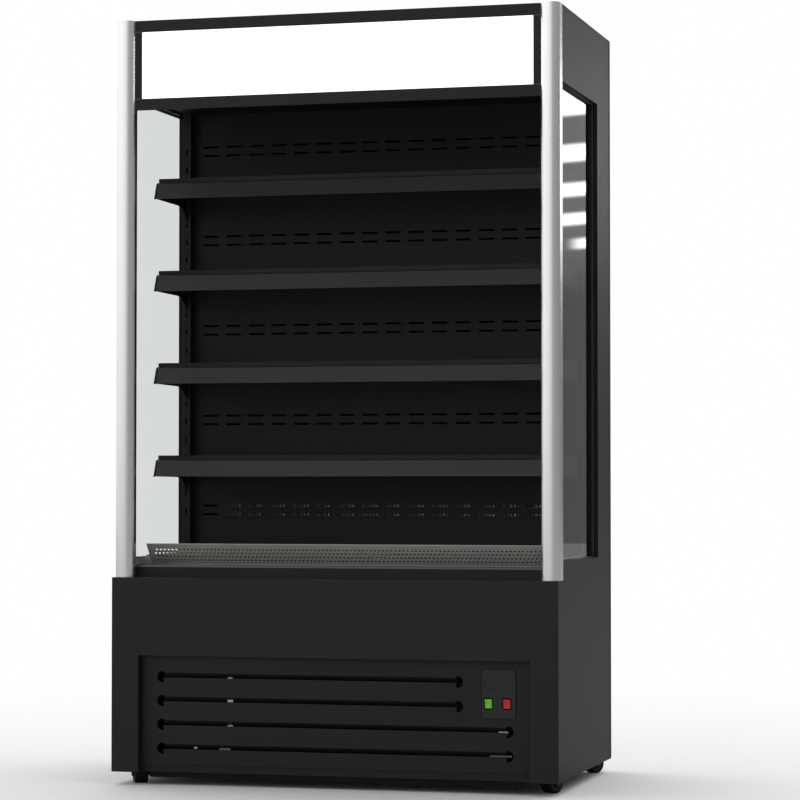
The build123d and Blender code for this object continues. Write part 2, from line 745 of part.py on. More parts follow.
def return_air_grille():
    """Perforated riser that leans out over the sill, with a foot flange and a hemmed top edge."""
    length = hypot(RISER_LEAN, RISER_RISE)
    lean = atan2(RISER_LEAN, RISER_RISE)
    half = PILLAR_IN - RISER_END
    foot_y = SILL_REAR - 3
    normal = (0, -cos(lean), -sin(lean))
    face = Plane(origin=(0, foot_y, SILL_TOP + THIN), x_dir=(1, 0, 0), z_dir=normal)
    columns = int((2 * half - 2 * HOLE_EDGE) / HOLE_PITCH)
    with BuildPart() as riser:
        with BuildSketch(face):
            with Locations((0, length / 2)):
                Rectangle(2 * half, length)
            for row in range(HOLE_ROWS):
                shift = HOLE_PITCH / 4 if row % 2 else -HOLE_PITCH / 4
                with Locations((shift, HOLE_EDGE + row * HOLE_ROW)):
                    with GridLocations(HOLE_PITCH, HOLE_PITCH, columns, 1):
                        Circle(HOLE_D / 2, mode=Mode.SUBTRACT)
        extrude(amount=-THIN)
        top_y = foot_y - RISER_LEAN
        top_z = SILL_TOP + THIN + RISER_RISE
        block((-half, half), (top_y, top_y + 12), (top_z - THIN, top_z))
        block((-half, half), (foot_y - THIN, foot_y + 2), (SILL_TOP, SILL_TOP + 2 * THIN))
    save(riser.part, "return_air_grille")


def deck():
    reach = INNER - DECK_GAP
    rear = UPRIGHT_Y - 6
    with BuildPart() as tray:
        block((-reach, reach), (DECK_FRONT, rear), (DECK_Z - SHEET, DECK_Z))
        for y in ((DECK_FRONT, DECK_FRONT + THIN), (rear - THIN, rear)):
            inner = INNER - DECK_RAIL - DECK_GAP
            block((-inner, inner), y, (DECK_Z - SHEET - DECK_FLANGE, DECK_Z - SHEET))
        for y in (-75, 35):
            block((-500, 500), (y, y + 25), (DECK_Z - SHEET - 6, DECK_Z - SHEET))
    save(tray.part, "deck_tray")
    rails = []
    for side in (-1, 1):
        high = DECK_Z - SHEET - SEAT
        with BuildPart() as rail:
            y = (DECK_FRONT, rear)
            block((side * (INNER - DECK_RAIL), side * INNER), y, (high - SHEET, high))
            block((side * (INNER - SHEET), side * INNER), y, (high - DECK_RAIL, high))
        rails.append(rail.part)
    save_group(rails, "deck_rails")


def air_panels():
    with BuildPart() as rear:
        with BuildSketch(at_y(REAR_PANEL + SHEET)):
            with Locations((0, (DECK_Z + CEILING_Z) / 2)):
                Rectangle(2 * INNER, CEILING_Z - DECK_Z)
            for top in SHELF_TOPS + [SHELF_TOPS[-1] - SHELF_PITCH]:
                with Locations((0, top + SHELF_PITCH / 2 - AIR_ROW)):
                    with GridLocations(1.5 * AIR_SLOT_L, AIR_ROW, AIR_SLOTS, 2):
                        SlotOverall(AIR_SLOT_L, AIR_SLOT_H, mode=Mode.SUBTRACT)
        extrude(amount=SHEET)
    save(rear.part, "rear_air_panel")
    comb_y = (HEADER_REAR, HEADER_REAR + HONEYCOMB_D)
    with BuildPart() as comb:
        with BuildSketch(Plane.XY.offset(CEILING_Z)):
            with Locations((0, sum(comb_y) / 2)):
                Rectangle(2 * INNER, HONEYCOMB_D)
                columns = int((2 * INNER - CELL_X) / (CELL_X + CELL_WALL))
                rows = int((HONEYCOMB_D - CELL_WALL) / (CELL_Y + CELL_WALL))
                with GridLocations(CELL_X + CELL_WALL, CELL_Y + CELL_WALL, columns, rows):
                    Rectangle(CELL_X, CELL_Y, mode=Mode.SUBTRACT)
        extrude(amount=HONEYCOMB_H)
    save(comb.part, "air_honeycomb")
    with BuildPart() as ceiling:
        block((-INNER, INNER), (comb_y[1], REAR_PANEL + SHEET), (CEILING_Z, CEILING_Z + SHEET))
        block((-INNER, INNER), (comb_y[1], comb_y[1] + SHEET), (CEILING_Z, CEILING_Z + HONEYCOMB_H))
        for side in (-1, 1):
            block(
                (side * (INNER - SHEET), side * INNER),
                (comb_y[1], REAR_PANEL + SHEET),
                (CEILING_Z, CEILING_Z + CEILING_SIDE),
            )
    save(ceiling.part, "ceiling_panel")


def slot_heights():
    """Lower edges of the uprights' slots, on the pitch that carries every shelf's hook."""
    low = SHELF_TOPS[-1] - HOOK_Z
    count = SLOTS_PER_PITCH * (SHELVES - 1)
    return [low + i * SLOT_PITCH for i in range(-3, count + 3)]


def shelf_uprights():
    channels = []
    for side in (-1, 1):
        with BuildPart() as channel:
            z = (DECK_Z, CEILING_Z)
            block((side * UPRIGHT_X, side * INNER), (UPRIGHT_Y, REAR_PANEL), z)
            block(
                (side * (UPRIGHT_X + SHEET), side * (INNER - SHEET)),
                (UPRIGHT_Y + SHEET, REAR_PANEL),
                z,
                mode=Mode.SUBTRACT,
            )
            with BuildSketch(at_y(UPRIGHT_Y + SHEET)):
                with Locations(*[(side * SLOT_X, low + SLOT_H / 2) for low in slot_heights()]):
                    Rectangle(SLOT_W, SLOT_H)
            extrude(amount=SHEET, mode=Mode.SUBTRACT)
        channels.append(channel.part)
    save_group(channels, "shelf_uprights")


# ================================================================ shelves
def shelf_tray(top):
    with BuildPart() as tray:
        block((-TRAY_SPAN, TRAY_SPAN), (SHELF_FRONT, TRAY_REAR), (top - THIN, top))
        block((-TRAY_SPAN, TRAY_SPAN), (SHELF_FRONT, SHELF_FRONT + THIN), (top - TRAY_LIP, top))
        inside = BRACKET_X - 2 * THIN
        block((-inside, inside), (TRAY_REAR - THIN, TRAY_REAR), (top - TRAY_SIDE, top))
        for side in (-1, 1):
            block(
                (side * (inside - THIN), side * inside),
                (SHELF_FRONT, TRAY_REAR),
                (top - TRAY_SIDE, top),
            )
    return tray.part


def shelf_bracket(side, top):
    """Cantilever plate with a hook and a lug that enter the upright's slots."""
    face = UPRIGHT_Y - SEAT
    behind = UPRIGHT_Y + SHEET + 3.5
    hook_low = top - HOOK_Z + SEAT
    lug_low = top - HOOK_Z - LUG_SLOTS * SLOT_PITCH + 1.5
    lug_high = lug_low + HOOK_NECK
    arc_mid, arc_end = (radians(turn) for turn in BRACKET_TURN)
    arc_z = top - BRACKET_LOW - 1 - BRACKET_ARC
    with BuildPart() as bracket:
        with BuildSketch(Plane.YZ.offset(min(side * BRACKET_X, side * (BRACKET_X + BRACKET_T)))):
            with BuildLine():
                low_front = (SHELF_FRONT - 23, top - BRACKET_LOW)
                flat_end = (BRACKET_FLAT, arc_z + BRACKET_ARC)
                middle = (BRACKET_FLAT + BRACKET_ARC * cos(arc_mid), arc_z + BRACKET_ARC * sin(arc_mid))
                end = (BRACKET_FLAT + BRACKET_ARC * cos(arc_end), arc_z + BRACKET_ARC * sin(arc_end))
                Line(low_front, flat_end)
                ThreePointArc(flat_end, middle, end)
                Polyline(
                    end, (face, top - BRACKET_HEEL), (face, lug_low),
                    (face + LUG_REACH, lug_low), (face + LUG_REACH, lug_high), (face, lug_high),
                    (face, hook_low), (behind, hook_low), (behind, hook_low - HOOK_DROP),
                    (behind + HOOK_NOSE, hook_low - HOOK_DROP), (behind + HOOK_NOSE, top - THIN),
                    (SHELF_FRONT + THIN, top - THIN), (SHELF_FRONT + THIN, top - TRAY_LIP - 1),
                    (SHELF_FRONT - 8, top - TRAY_LIP - 1), low_front,
                )
            make_face()
        extrude(amount=BRACKET_T)
    return bracket.part


def price_rail(top):
    """Leaning label rail, hung on the tray's front lip."""
    y, z = SHELF_FRONT, top - RAIL_TOP
    low = top - BRACKET_LOW
    with BuildPart() as rail:
        with BuildSketch(Plane.YZ.offset(-RAIL_SPAN)):
            with BuildLine():
                Polyline(
                    (y, z), (y - 2, z), (y - RAIL_JOG, z - 3), (y - RAIL_JOG - RAIL_LEAN, low),
                    (y - RAIL_JOG - RAIL_LEAN + RAIL_T, low), (y - RAIL_JOG + RAIL_T - 1, z - 5),
                    (y - 2.5, z - 4), (y - 2.5, z - 12), (y, z - 12), close=True,
                )
            make_face()
        extrude(amount=2 * RAIL_SPAN)
    return rail.part


def shelves():
    for number, top in enumerate(SHELF_TOPS, 1):
        brackets = [shelf_bracket(side, top) for side in (-1, 1)]
        save_group([shelf_tray(top)] + brackets, f"shelf_{number}")
        save(price_rail(top), f"price_rail_{number}")


# ================================================================ refrigeration
def finned_block(x, y, z):
    """Coil block of upright fins held by a strip at its top and bottom."""
    with BuildPart() as coil:
        block(x, y, z)
        count = int((x[1] - x[0] - FIN_STRIP) / FIN_PITCH)
        with BuildSketch(at_y(y[1])):
            with Locations(((x[0] + x[1]) / 2, (z[0] + z[1]) / 2)):
                with GridLocations(FIN_PITCH, FIN_PITCH, count, 1):
                    Rectangle(FIN_SLOT, z[1] - z[0] - 2 * FIN_STRIP)
        extrude(amount=y[1] - y[0], mode=Mode.SUBTRACT)
    return coil.part


def fan(x, z, hub, hub_r, tip, chord, count, shaft_r, name):
    """Hub with pitched blades about an axis along Y, bored for its motor's shaft."""
    center = (x, (hub[0] + hub[1]) / 2, z)
    pitch = radians(BLADE_PITCH)
    root = hub_r - 3
    with BuildPart() as rotor:
        with BuildSketch(at_y(hub[1])):
            with Locations((x, z)):
                Circle(hub_r)
        extrude(amount=hub[1] - hub[0])
        for i in range(count):
            turn = radians(360 * i / count)
            radial = Vector(cos(turn), 0, sin(turn))
            around = Vector(-sin(turn), 0, cos(turn))
            normal = Vector(0, cos(pitch), 0) + around * sin(pitch)
            with BuildSketch(Plane(origin=center, x_dir=radial, z_dir=normal)):
                with Locations(((root + tip) / 2, 0)):
                    RectangleRounded(tip - root, chord, chord / 6)
            extrude(amount=BLADE_T / 2, both=True)
        with BuildSketch(at_y(hub[1] + chord / 2)):
            with Locations((x, z)):
                Circle(shaft_r + FIT)
        extrude(amount=hub[1] - hub[0] + chord, mode=Mode.SUBTRACT)
    save(rotor.part, name)


def condenser():
    """Coil, and its fan shroud with baffles that close the rest of the compartment's width."""
    save(finned_block(COIL_X, COIL_Y, (FLOOR_TOP, COIL_HIGH)), "condenser_coil")
    rear = COIL_Y[1] + SHROUD_DEEP
    with BuildPart() as shroud:
        block(COIL_X, (COIL_Y[1], rear), (FLOOR_TOP, COIL_HIGH))
        block(
            (COIL_X[0] + SHEET, COIL_X[1] - SHEET),
            (COIL_Y[1], rear - SHEET),
            (FLOOR_TOP + SHEET, COIL_HIGH - SHEET),
            mode=Mode.SUBTRACT,
        )
        with BuildSketch(at_y(rear)):
            with Locations((COND_FAN_X, COND_FAN_Z)):
                Circle(COND_FAN_HOLE)
        extrude(amount=SHEET, mode=Mode.SUBTRACT)
        rail_in = HALF - SHEET - RAIL_W
        for x, low, wall_x in ((COIL_X[0], -rail_in, -INNER), (COIL_X[1], rail_in, INNER)):
            block((x, low), (COIL_Y[1], COIL_Y[1] + SHEET), (FLOOR_TOP, RAIL_TOP_Z))
            block((x, wall_x), (COIL_Y[1], COIL_Y[1] + SHEET), (RAIL_TOP_Z, TUB_Z))
        with BuildSketch(at_y(COIL_Y[1] + SHEET)):
            with Locations((COMP_X, DISCHARGE_Z)):
                Circle(PIPE_R + 1)
        extrude(amount=SHEET, mode=Mode.SUBTRACT)
    save(shroud.part, "fan_shroud")
    fan(
        COND_FAN_X, COND_FAN_Z, COND_HUB, COND_HUB_R, COND_FAN_TIP, 68, 5, COND_SHAFT_R,
        "condenser_fan",
    )


def condenser_motor():
    with BuildPart() as motor:
        with BuildSketch(at_y(COND_MOTOR[1])):
            with Locations((COND_FAN_X, COND_FAN_Z)):
                Circle(COND_MOTOR_R)
        extrude(amount=COND_MOTOR[1] - COND_MOTOR[0])
        with BuildSketch(at_y(COND_MOTOR[0])):
            with Locations((COND_FAN_X, COND_FAN_Z)):
                Circle(COND_SHAFT_R)
        extrude(amount=COND_MOTOR[0] - COND_HUB[0])
        middle = sum(COND_MOTOR) / 2
        block((COND_FAN_X - 14, COND_FAN_X + 14), (middle, middle + 6), (FLOOR_TOP, COND_FAN_Z))
        block((COND_FAN_X - 40, COND_FAN_X + 40), (middle, middle + 30), (FLOOR_TOP, FLOOR_TOP + 4))
    return motor.part


def evaporator_motor(x):
    rear = FAN_PLATE_Y + SHEET
    with BuildPart() as motor:
        with BuildSketch(at_y(rear + 3)):
            with Locations((x, EVAP_FAN_Z)):
                Circle(EVAP_FAN_HOLE + 2)
                Circle(EVAP_FAN_HOLE - 4, mode=Mode.SUBTRACT)
                with PolarLocations(0, 3, start_angle=90):
                    with Locations((EVAP_FAN_HOLE / 2, 0)):
                        Rectangle(EVAP_FAN_HOLE - 3, 6)
        extrude(amount=3)
        with BuildSketch(at_y(rear + EVAP_MOTOR_L)):
            with Locations((x, EVAP_FAN_Z)):
                Circle(EVAP_MOTOR_R)
        extrude(amount=EVAP_MOTOR_L)
        with BuildSketch(at_y(rear)):
            with Locations((x, EVAP_FAN_Z)):
                Circle(EVAP_SHAFT_R)
        extrude(amount=rear - EVAP_HUB[0])
    return motor.part


def evaporator():
    with BuildPart() as plate:
        with BuildSketch(at_y(FAN_PLATE_Y + SHEET)):
            high = DECK_Z - SHEET - SEAT - 10
            with Locations((0, (TUB_TOP + high) / 2)):
                Rectangle(2 * (INNER - DECK_RAIL - 1), high - TUB_TOP)
            with Locations((-EVAP_FAN_X, EVAP_FAN_Z), (EVAP_FAN_X, EVAP_FAN_Z)):
                Circle(EVAP_FAN_HOLE, mode=Mode.SUBTRACT)
        extrude(amount=SHEET)
    save(plate.part, "fan_plate")
    for side, name in ((-1, "left"), (1, "right")):
        fan(
            side * EVAP_FAN_X, EVAP_FAN_Z, EVAP_HUB, EVAP_HUB_R, EVAP_FAN_TIP, 32, 5, EVAP_SHAFT_R,
            f"evaporator_fan_{name}",
        )
    motors = [evaporator_motor(side * EVAP_FAN_X) for side in (-1, 1)]
    save_group([condenser_motor()] + motors, "fan_motors")
    plates = []
    for side in (-1, 1):
        with BuildPart() as end:
            block(
                (side * EVAP_X, side * (EVAP_X + EVAP_PLATE)),
                (EVAP_Y[0] - 4, BACK_FACE),
                (EVAP_Z[0] - 4, EVAP_Z[1] + 4),
            )
        plates.append(end.part)
    save_group([finned_block((-EVAP_X, EVAP_X), EVAP_Y, EVAP_Z)] + plates, "evaporator_coil")


def compressor():
    low = FLOOR_TOP + COMP_FOOT
    with BuildPart() as shell:
        with BuildSketch(Plane.XY.offset(low)):
            with Locations((COMP_X, COMP_Y)):
                Circle(COMP_R)
        extrude(amount=COMP_H)
        fillet(shell.edges().filter_by(GeomType.CIRCLE).group_by(Axis.Z)[-1], COMP_DOME)
        block((COMP_X - 100, COMP_X + 100), (COMP_Y - 60, COMP_Y + 60), (low, low + 4))
        block((COMP_X - 25, COMP_X + 25), (COMP_Y - COMP_R - 22, COMP_Y - 50), (low + 60, low + 115))
    with BuildPart() as feet:
        with BuildSketch(Plane.XY.offset(FLOOR_TOP)):
            with Locations((COMP_X, COMP_Y)):
                with GridLocations(170, 90, 2, 2):
                    Circle(COMP_FOOT)
        extrude(amount=COMP_FOOT)
    save_group([shell.part, feet.part], "compressor")


def tube(points, bends):
    with BuildPart() as pipe:
        with BuildLine() as route:
            FilletPolyline(*points, radius=bends)
        with BuildSketch(Plane(origin=route.line @ 0, z_dir=route.line % 0)):
            Circle(PIPE_R)
        sweep()
    return pipe.part


def pipes():
    """Discharge line to the condenser, liquid line with its drier, and suction line up to the evaporator."""
    z_comp = DISCHARGE_Z - 30
    x_coil = COIL_X[1] + SEAT
    y_coil = sum(COIL_Y) / 2
    discharge = tube(
        [
            (COMP_X, COMP_Y - COMP_R - 22 - SEAT, DISCHARGE_Z), (COMP_X, y_coil, DISCHARGE_Z),
            (x_coil, y_coil, DISCHARGE_Z),
        ],
        PIPE_BEND,
    )
    suction = tube(
        [
            (COMP_X + COMP_R + SEAT, COMP_Y, z_comp), (PIPE_X, COMP_Y, z_comp), (PIPE_X, PIPE_Y, z_comp),
            (PIPE_X, PIPE_Y, EVAP_Z[0] + 40), (EVAP_X + EVAP_PLATE + SEAT, PIPE_Y, EVAP_Z[0] + 40),
        ],
        8,
    )
    save_group([discharge, suction], "refrigerant_pipes")


def loose_boxes():
    with BuildPart() as electrical:
        block((330, 520), (-140, 40), (FLOOR_TOP, FLOOR_TOP + 120))
        fillet(electrical.edges().filter_by(Axis.Z), 4)
    save(electrical.part, "electrical_box")
    with BuildPart() as pan:
        block((-500, -60), (60, 290), (FLOOR_TOP, FLOOR_TOP + 40))
        block((-498, -62), (62, 288), (FLOOR_TOP + 2, FLOOR_TOP + 40), mode=Mode.SUBTRACT)
    save(pan.part, "drip_pan")


def main():
    os.makedirs("parts", exist_ok=True)
    base_frame()
    castors()
    for side, name in ((-1, "left"), (1, "right")):
        side_panel(side, f"side_panel_{name}")
        side_glass(side, f"side_glass_{name}")
        pillar(side, f"pillar_{name}")
    save_group([gasket(-1), gasket(1)], "glass_gaskets")
    front_panel()
    service_grille()
    control_fascia()
    display_window()
    rocker_switches()
    back_and_roof()
    rear_cover()
    header()
    tub_floor()
    front_sill()
    return_air_grille()
    deck()
    air_panels()
    shelf_uprights()
    shelves()
    condenser()
    evaporator()
    compressor()
    pipes()
    loose_boxes()


main()
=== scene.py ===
import json
from functools import partial
from math import atan2, cos, pi, radians, sin

import bmesh
import bpy
from mathutils import Matrix, Vector


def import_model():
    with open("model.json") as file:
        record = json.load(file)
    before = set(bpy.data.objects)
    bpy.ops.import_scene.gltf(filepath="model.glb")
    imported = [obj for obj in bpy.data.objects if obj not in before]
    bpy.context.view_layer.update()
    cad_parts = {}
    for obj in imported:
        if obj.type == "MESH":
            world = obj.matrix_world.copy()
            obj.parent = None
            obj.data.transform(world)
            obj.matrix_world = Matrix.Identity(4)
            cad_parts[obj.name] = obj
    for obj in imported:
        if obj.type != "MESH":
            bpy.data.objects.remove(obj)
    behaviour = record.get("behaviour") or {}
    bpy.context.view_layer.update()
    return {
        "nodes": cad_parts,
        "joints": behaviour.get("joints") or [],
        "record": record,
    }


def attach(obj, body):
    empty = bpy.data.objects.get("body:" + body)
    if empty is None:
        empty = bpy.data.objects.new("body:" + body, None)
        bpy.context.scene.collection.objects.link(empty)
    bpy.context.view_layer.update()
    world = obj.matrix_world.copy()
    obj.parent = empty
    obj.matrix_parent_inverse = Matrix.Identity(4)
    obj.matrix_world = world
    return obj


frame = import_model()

NODES = frame["nodes"]
JOINTS = {joint["name"]: joint for joint in frame["joints"]}
MM = 0.001
SIDES = ((-1, "left"), (1, "right"))
CASTORS = ("front_left", "front_right", "rear_left", "rear_right")

# ---------------------------------------------------------------- camera and stage
CAMERA_AT = (2.0812, -7.3634, 0.7872)
CAMERA_TURN = 15.121
CAMERA_PITCH = 1.717
CAMERA_LENS = 127.42
SENSOR = 36
CLIP_END = 200

FLOOR_SIZE = 60
FLOOR_SEEN = 0.83  # the floor's colour as the camera sees it,
FLOOR_BOUNCE = 0.6  # as it lights the object,
FLOOR_MIRRORED = 0.36  # and as glossy surfaces mirror it
FLOOR_FADE = (0.6, 4.2)  # distances over which the floor fades to plain white

# brightness of the studio by direction, in degrees from the front towards +X
STUDIO = (
    (-180, 0.22), (-158, 0.45), (-140, 0.85), (-100, 0.97), (-60, 1.0), (-22, 0.92), (-6, 0.84),
    (12, 0.66), (25, 0.42), (40, 0.32), (75, 0.28), (110, 0.25), (150, 0.22), (180, 0.22),
)
# heights in the sky are sines of elevation
STUDIO_LOW = 0.92  # the studio's brightness at the horizon, as a share of the list above,
STUDIO_GAIN = 0.55  # and how much is added to that share
STUDIO_GAIN_OVER = (0, 0.35)  # over these heights
OVERHEAD_FROM = (0.3, 0.75)  # heights over which the upper sky takes over
ZENITH = 1.25
BACKLIGHT = 1.7  # how much brighter the upper sky is behind the object than straight above it

# bright bands of light behind the object, mirrored in the right-hand pane: lower and upper edges
BANDS = (
    (0.0833, 0.0862), (0.0918, 0.0952), (0.1018, 0.1058), (0.1139, 0.1192), (0.1300, 0.1390),
)
BAND_TURN = 168.4  # direction of their middle, and how far they reach to each side, in degrees
BAND_HALF = 7
BAND_START = (-0.18, 0.2)  # where the lowest band begins, in degrees from BAND_TURN
BAND_TILT = 0.0014  # how much higher they are for each degree past their middle
BAND_BLUR = 0.0012
BAND_LIGHT = 3.4
GLOW_LIGHT = 0.2  # faint light round the bands,
GLOW_RISE = (0.062, 0.09)  # which comes up over these heights

# ---------------------------------------------------------------- the object, in millimetres
# a pair is a lower and an upper coordinate
HALF = 600
INNER = 569  # the side panels' inner faces, from the middle
BACK = 350
HEIGHT = 2018
SKIRT_Z = 34  # lower edges of the side panels
GRILLE_FACE = -324
UPPER_FRONT = -290
SILL_TOP = 574
SILL_REAR = -190
WINDOW_Z = (592, 1820)
WINDOW_REAR = 170
GASKET_OUT = 588  # outer faces of the window gaskets
HEADER_FACE = -321
HEADER_SIDE = 549
SIGN_Z = (1810, 1987.5)
SIGN_STILE = 18
FASCIA = ((395.5, 483.5), (193.5, 316))  # the control plate across and up, as for the display
DISPLAY = ((402, 474), (262, 293))
ROCKERS_X = (413, 461)
ROCKER_SIZE = (18, 24)
ROCKER_Z = 230.7
SHELF_TOPS = (1620, 1369, 1118, 867)
SHELF_FRONT = -108
TRAIL = 18  # castors: trail, wheel radius and width, and underside of the top plates
WHEEL_R = 25
WHEEL_W = 36
PLATE_LOW = 69

# ---------------------------------------------------------------- trim, in millimetres
# controls; the pairs named _OUT are distances in front of the grille
BEZEL_GAP = 0.2
BEZEL_WIDTH = 2.6
BEZEL_OUT = (1.5, 3.2)
EDGE_STRIP = (0.1, 1.7)  # distances from the control plate's edge
EDGE_STRIP_OUT = (0, 1.2)
DISPLAY_LINE = (0.1, 1.4)  # distances from the display's edge
DISPLAY_LINE_OUT = (1.8, 2.5)

# behind the louvres
STIFFENER_AT = (-282, -316)  # middle of the stiffener's crown, in plan
STIFFENER_Z = (112, 332)
HAT = (  # its section about that point
    (-12, 19), (-12, 18), (-5, 18), (-3.5, 0), (3.5, 0), (5, 18),
    (12, 18), (12, 19), (4, 19), (2.5, 1), (-2.5, 1), (-4, 19),
)
GLINT_OUT = (-4, 1)  # distances in front of the stiffener's crown
GLINTS = (  # name, width, height and finish
    ("louvre_tab_1", (-290, -274.5), (277, 283.5), "bright_steel"),
    ("louvre_tab_2", (-289.5, -274.5), (219.5, 226), "bright_steel"),
    ("louvre_tab_3", (-289.5, -274.5), (152.5, 159.5), "bright_steel"),
    ("louvre_tab_4", (-312, -281), (92, 99.5), "dull_steel"),
    ("service_rail_upper", (437, 462), (153.5, 159.5), "bright_steel"),
    ("service_rail_lower", (414, 472), (94, 98.5), "dull_steel"),
    ("cable_clip", (-382, -373), (96, 101), "bright_steel"),
)

# lip below the front apron
LIP_FRONT = -318
LIP_Z = (19.5, 36)
LIP_HALF = 505
LIP_DEPTH = 12
LIP_GAUGE = 1.5

# beads on the window gaskets and trims of the side panels
BEAD_FRONT = UPPER_FRONT + 0.3
BEAD_INSET = (0.2, 2)  # distances of the bead's edges inside the gasket's
BEAD_RISE = 1.6
TRIM_TOP = 3.5  # widths along the top and down the rear edge
TRIM_REAR = 17
TRIM_SETBACK = 1
TRIM_FOOT = SKIRT_Z + 2
TRIM_X = (HALF - 1, HALF + 0.6)

# sill, deck rails and header
SILL_TRIM = (  # section about the sill's front top edge
    (-1.4, -4), (-1.6, 0.2), (-0.6, 1.3), (5, 1.2), (5, 0), (0, 0), (0, -4),
)
SILL_TRIM_HALF = INNER - 1
SILL_END = ((UPPER_FRONT + 1, 100), (SILL_TOP + 1.5, WINDOW_Z[0]))  # from front to rear and up
SILL_END_T = 1
DECK_CAP_X = (INNER - 23, INNER - 1.2)
DECK_CAP_Z = (SILL_TOP, WINDOW_Z[0] + 5)
DECK_CAP_OUT = (0.3, 1.3)  # distances in front of the sill's rear edge
# strips of painted highlight where the header's stiles meet its bars
GAP_X = (HEADER_SIDE - SIGN_STILE + 1, HEADER_SIDE)
GAP_Y = (HEADER_FACE - 0.15, HEADER_FACE + 0.5)
GAP_WIDTH = 1

# end caps of the label rails: section about the shelf's front top edge, and place across
RAIL_CAP = (
    (1, -11), (-4, -11), (-12, -15), (-31.5, -58), (-23, -58), (-11, -32), (1, -32),
)
RAIL_CAP_X = (560, 562.5)

# turned profiles of the castors' details, as pairs of radius and height
HUB = (  # heights are from the tyre's side outwards
    (4.6, -3), (4.6, 0.25), (8, 0.25), (8.6, -1.2), (14, -1.2), (14.8, 0.2), (17.4, 0.2), (18, -3),
    (4.6, -3),
)
CUP = ((9, 60.1), (9, 57.6), (13, 57.6), (16.5, 60.1), (9, 60.1))
CUP_SKIRT = ((31.2, 60.4), (31.6, 63), (31.4, 68.2), (29, 68.6), (29, 60.2), (31.2, 60.4))
WASHER = ((0, -0.8), (5, -0.8), (5, 0), (0, 0))  # heights are from the top plate's underside
BOLT_HEAD = ((0, -4), (3.6, -4), (4, -3.5), (4, -0.8), (0, -0.8))
BOLT_AT = 26  # from the kingpin, both ways

# rivets and seam of the back wall and the roof
RIVET = ((0, 1.3), (1.76, 1.17), (2.88, 0.65), (3.2, 0), (0, 0))
RIVETS_ALONG = range(-540, 541, 135)
RIVETS_UP = range(120, 1947, 166)
BACK_ROWS = (460, 1205, 1938)
BACK_COLUMNS = (-585, 585)
ROOF_ROWS = (-240, 50, 335)
SEAM = ((-0.2, 1188), (1.1, 1190), (1.1, 1220), (-0.2, 1222))  # out from the back wall, and height
SEAM_HALF = INNER - 4

# width of the rounding on the folded and cut edges of CAD nodes
SOFT_EDGES = {
    0.8: (
        "front_panel", "service_grille", "control_fascia", "header_frame", "front_sill",
        "side_panel_left", "side_panel_right", "pillar_left", "pillar_right",
    ),
    0.5: ("price_rail_1", "price_rail_2", "price_rail_3", "price_rail_4"),
}
BEVEL_ABOVE = radians(40)  # angle from which an edge is rounded,
SHARP_ABOVE = radians(32)  # and from which it is shaded as an edge


# ================================================================ shader nodes
def new_material(name):
    material = bpy.data.materials.new(name)
    material.use_nodes = True
    tree = material.node_tree
    return material, tree, tree.nodes["Principled BSDF"]


def node(tree, kind, **inputs):
    """A shader node; an underscore in an input's name stands for a space."""
    made = tree.nodes.new(kind)
    for key, value in inputs.items():
        made.inputs[key.replace("_", " ")].default_value = value
    return made


def maths(tree, operation, *values):
    """A Math node; each value is a number or another node's output."""
    made = tree.nodes.new("ShaderNodeMath")
    made.operation = operation
    for socket, value in zip(made.inputs, values):
        if isinstance(value, (int, float)):
            socket.default_value = value
        else:
            tree.links.new(value, socket)
    return made.outputs["Value"]


def arithmetic(tree):
    """Shorthands for Math nodes that add, subtract and multiply."""
    return [partial(maths, tree, operation) for operation in ("ADD", "SUBTRACT", "MULTIPLY")]


def object_coordinates(tree, scale=(1, 1, 1)):
    """The object's own coordinates, stretched by scale."""
    place = tree.nodes.new("ShaderNodeTexCoord")
    mapping = node(tree, "ShaderNodeMapping", Scale=scale)
    tree.links.new(place.outputs["Object"], mapping.inputs["Vector"])
    return mapping.outputs["Vector"]


def noise(tree, vector, scale, detail=4, roughness=0.5):
    made = node(tree, "ShaderNodeTexNoise", Scale=scale, Detail=detail, Roughness=roughness)
    tree.links.new(vector, made.inputs["Vector"])
    return made.outputs["Fac"]


def ramp(tree, factor, *stops):
    """A value or colour that follows stops of (position, value or colour) as factor rises."""
    made = tree.nodes.new("ShaderNodeValToRGB")
    elements = made.color_ramp.elements
    while len(elements) < len(stops):
        elements.new(1)
    for element, (position, value) in zip(elements, stops):
        element.position = position
        element.color = (*value, 1) if isinstance(value, tuple) else (value, value, value, 1)
    tree.links.new(factor, made.inputs["Fac"])
    return made.outputs["Color"]


def spread(tree, factor, low, high):
    """Goes from low to high over the middle of a noise's range."""
    return ramp(tree, factor, (0.3, low), (0.7, high))


def remap(tree, value, low, high, smooth=False):
    """Rises from 0 to 1 while value goes from low to high."""
    made = node(tree, "ShaderNodeMapRange", From_Min=low, From_Max=high)
    if smooth:
        made.interpolation_type = "SMOOTHSTEP"
    tree.links.new(value, made.inputs["Value"])
    return made.outputs["Result"]


def bump(tree, shader, height, strength, distance):
    made = node(tree, "ShaderNodeBump", Strength=strength, Distance=distance)
    tree.links.new(height, made.inputs["Height"])
    tree.links.new(made.outputs["Normal"], shader.inputs["Normal"])


def mixed(tree, share, first, second, out):
    """Mixes two shaders, with share of the second, and sends the result to an output node."""
    mix = tree.nodes.new("ShaderNodeMixShader")
    tree.links.new(share, mix.inputs["Fac"])
    tree.links.new(first, mix.inputs[1])
    tree.links.new(second, mix.inputs[2])
    tree.links.new(mix.outputs["Shader"], out.inputs["Surface"])


def tint(colour, factor):
    return tuple(channel * factor for channel in colour)


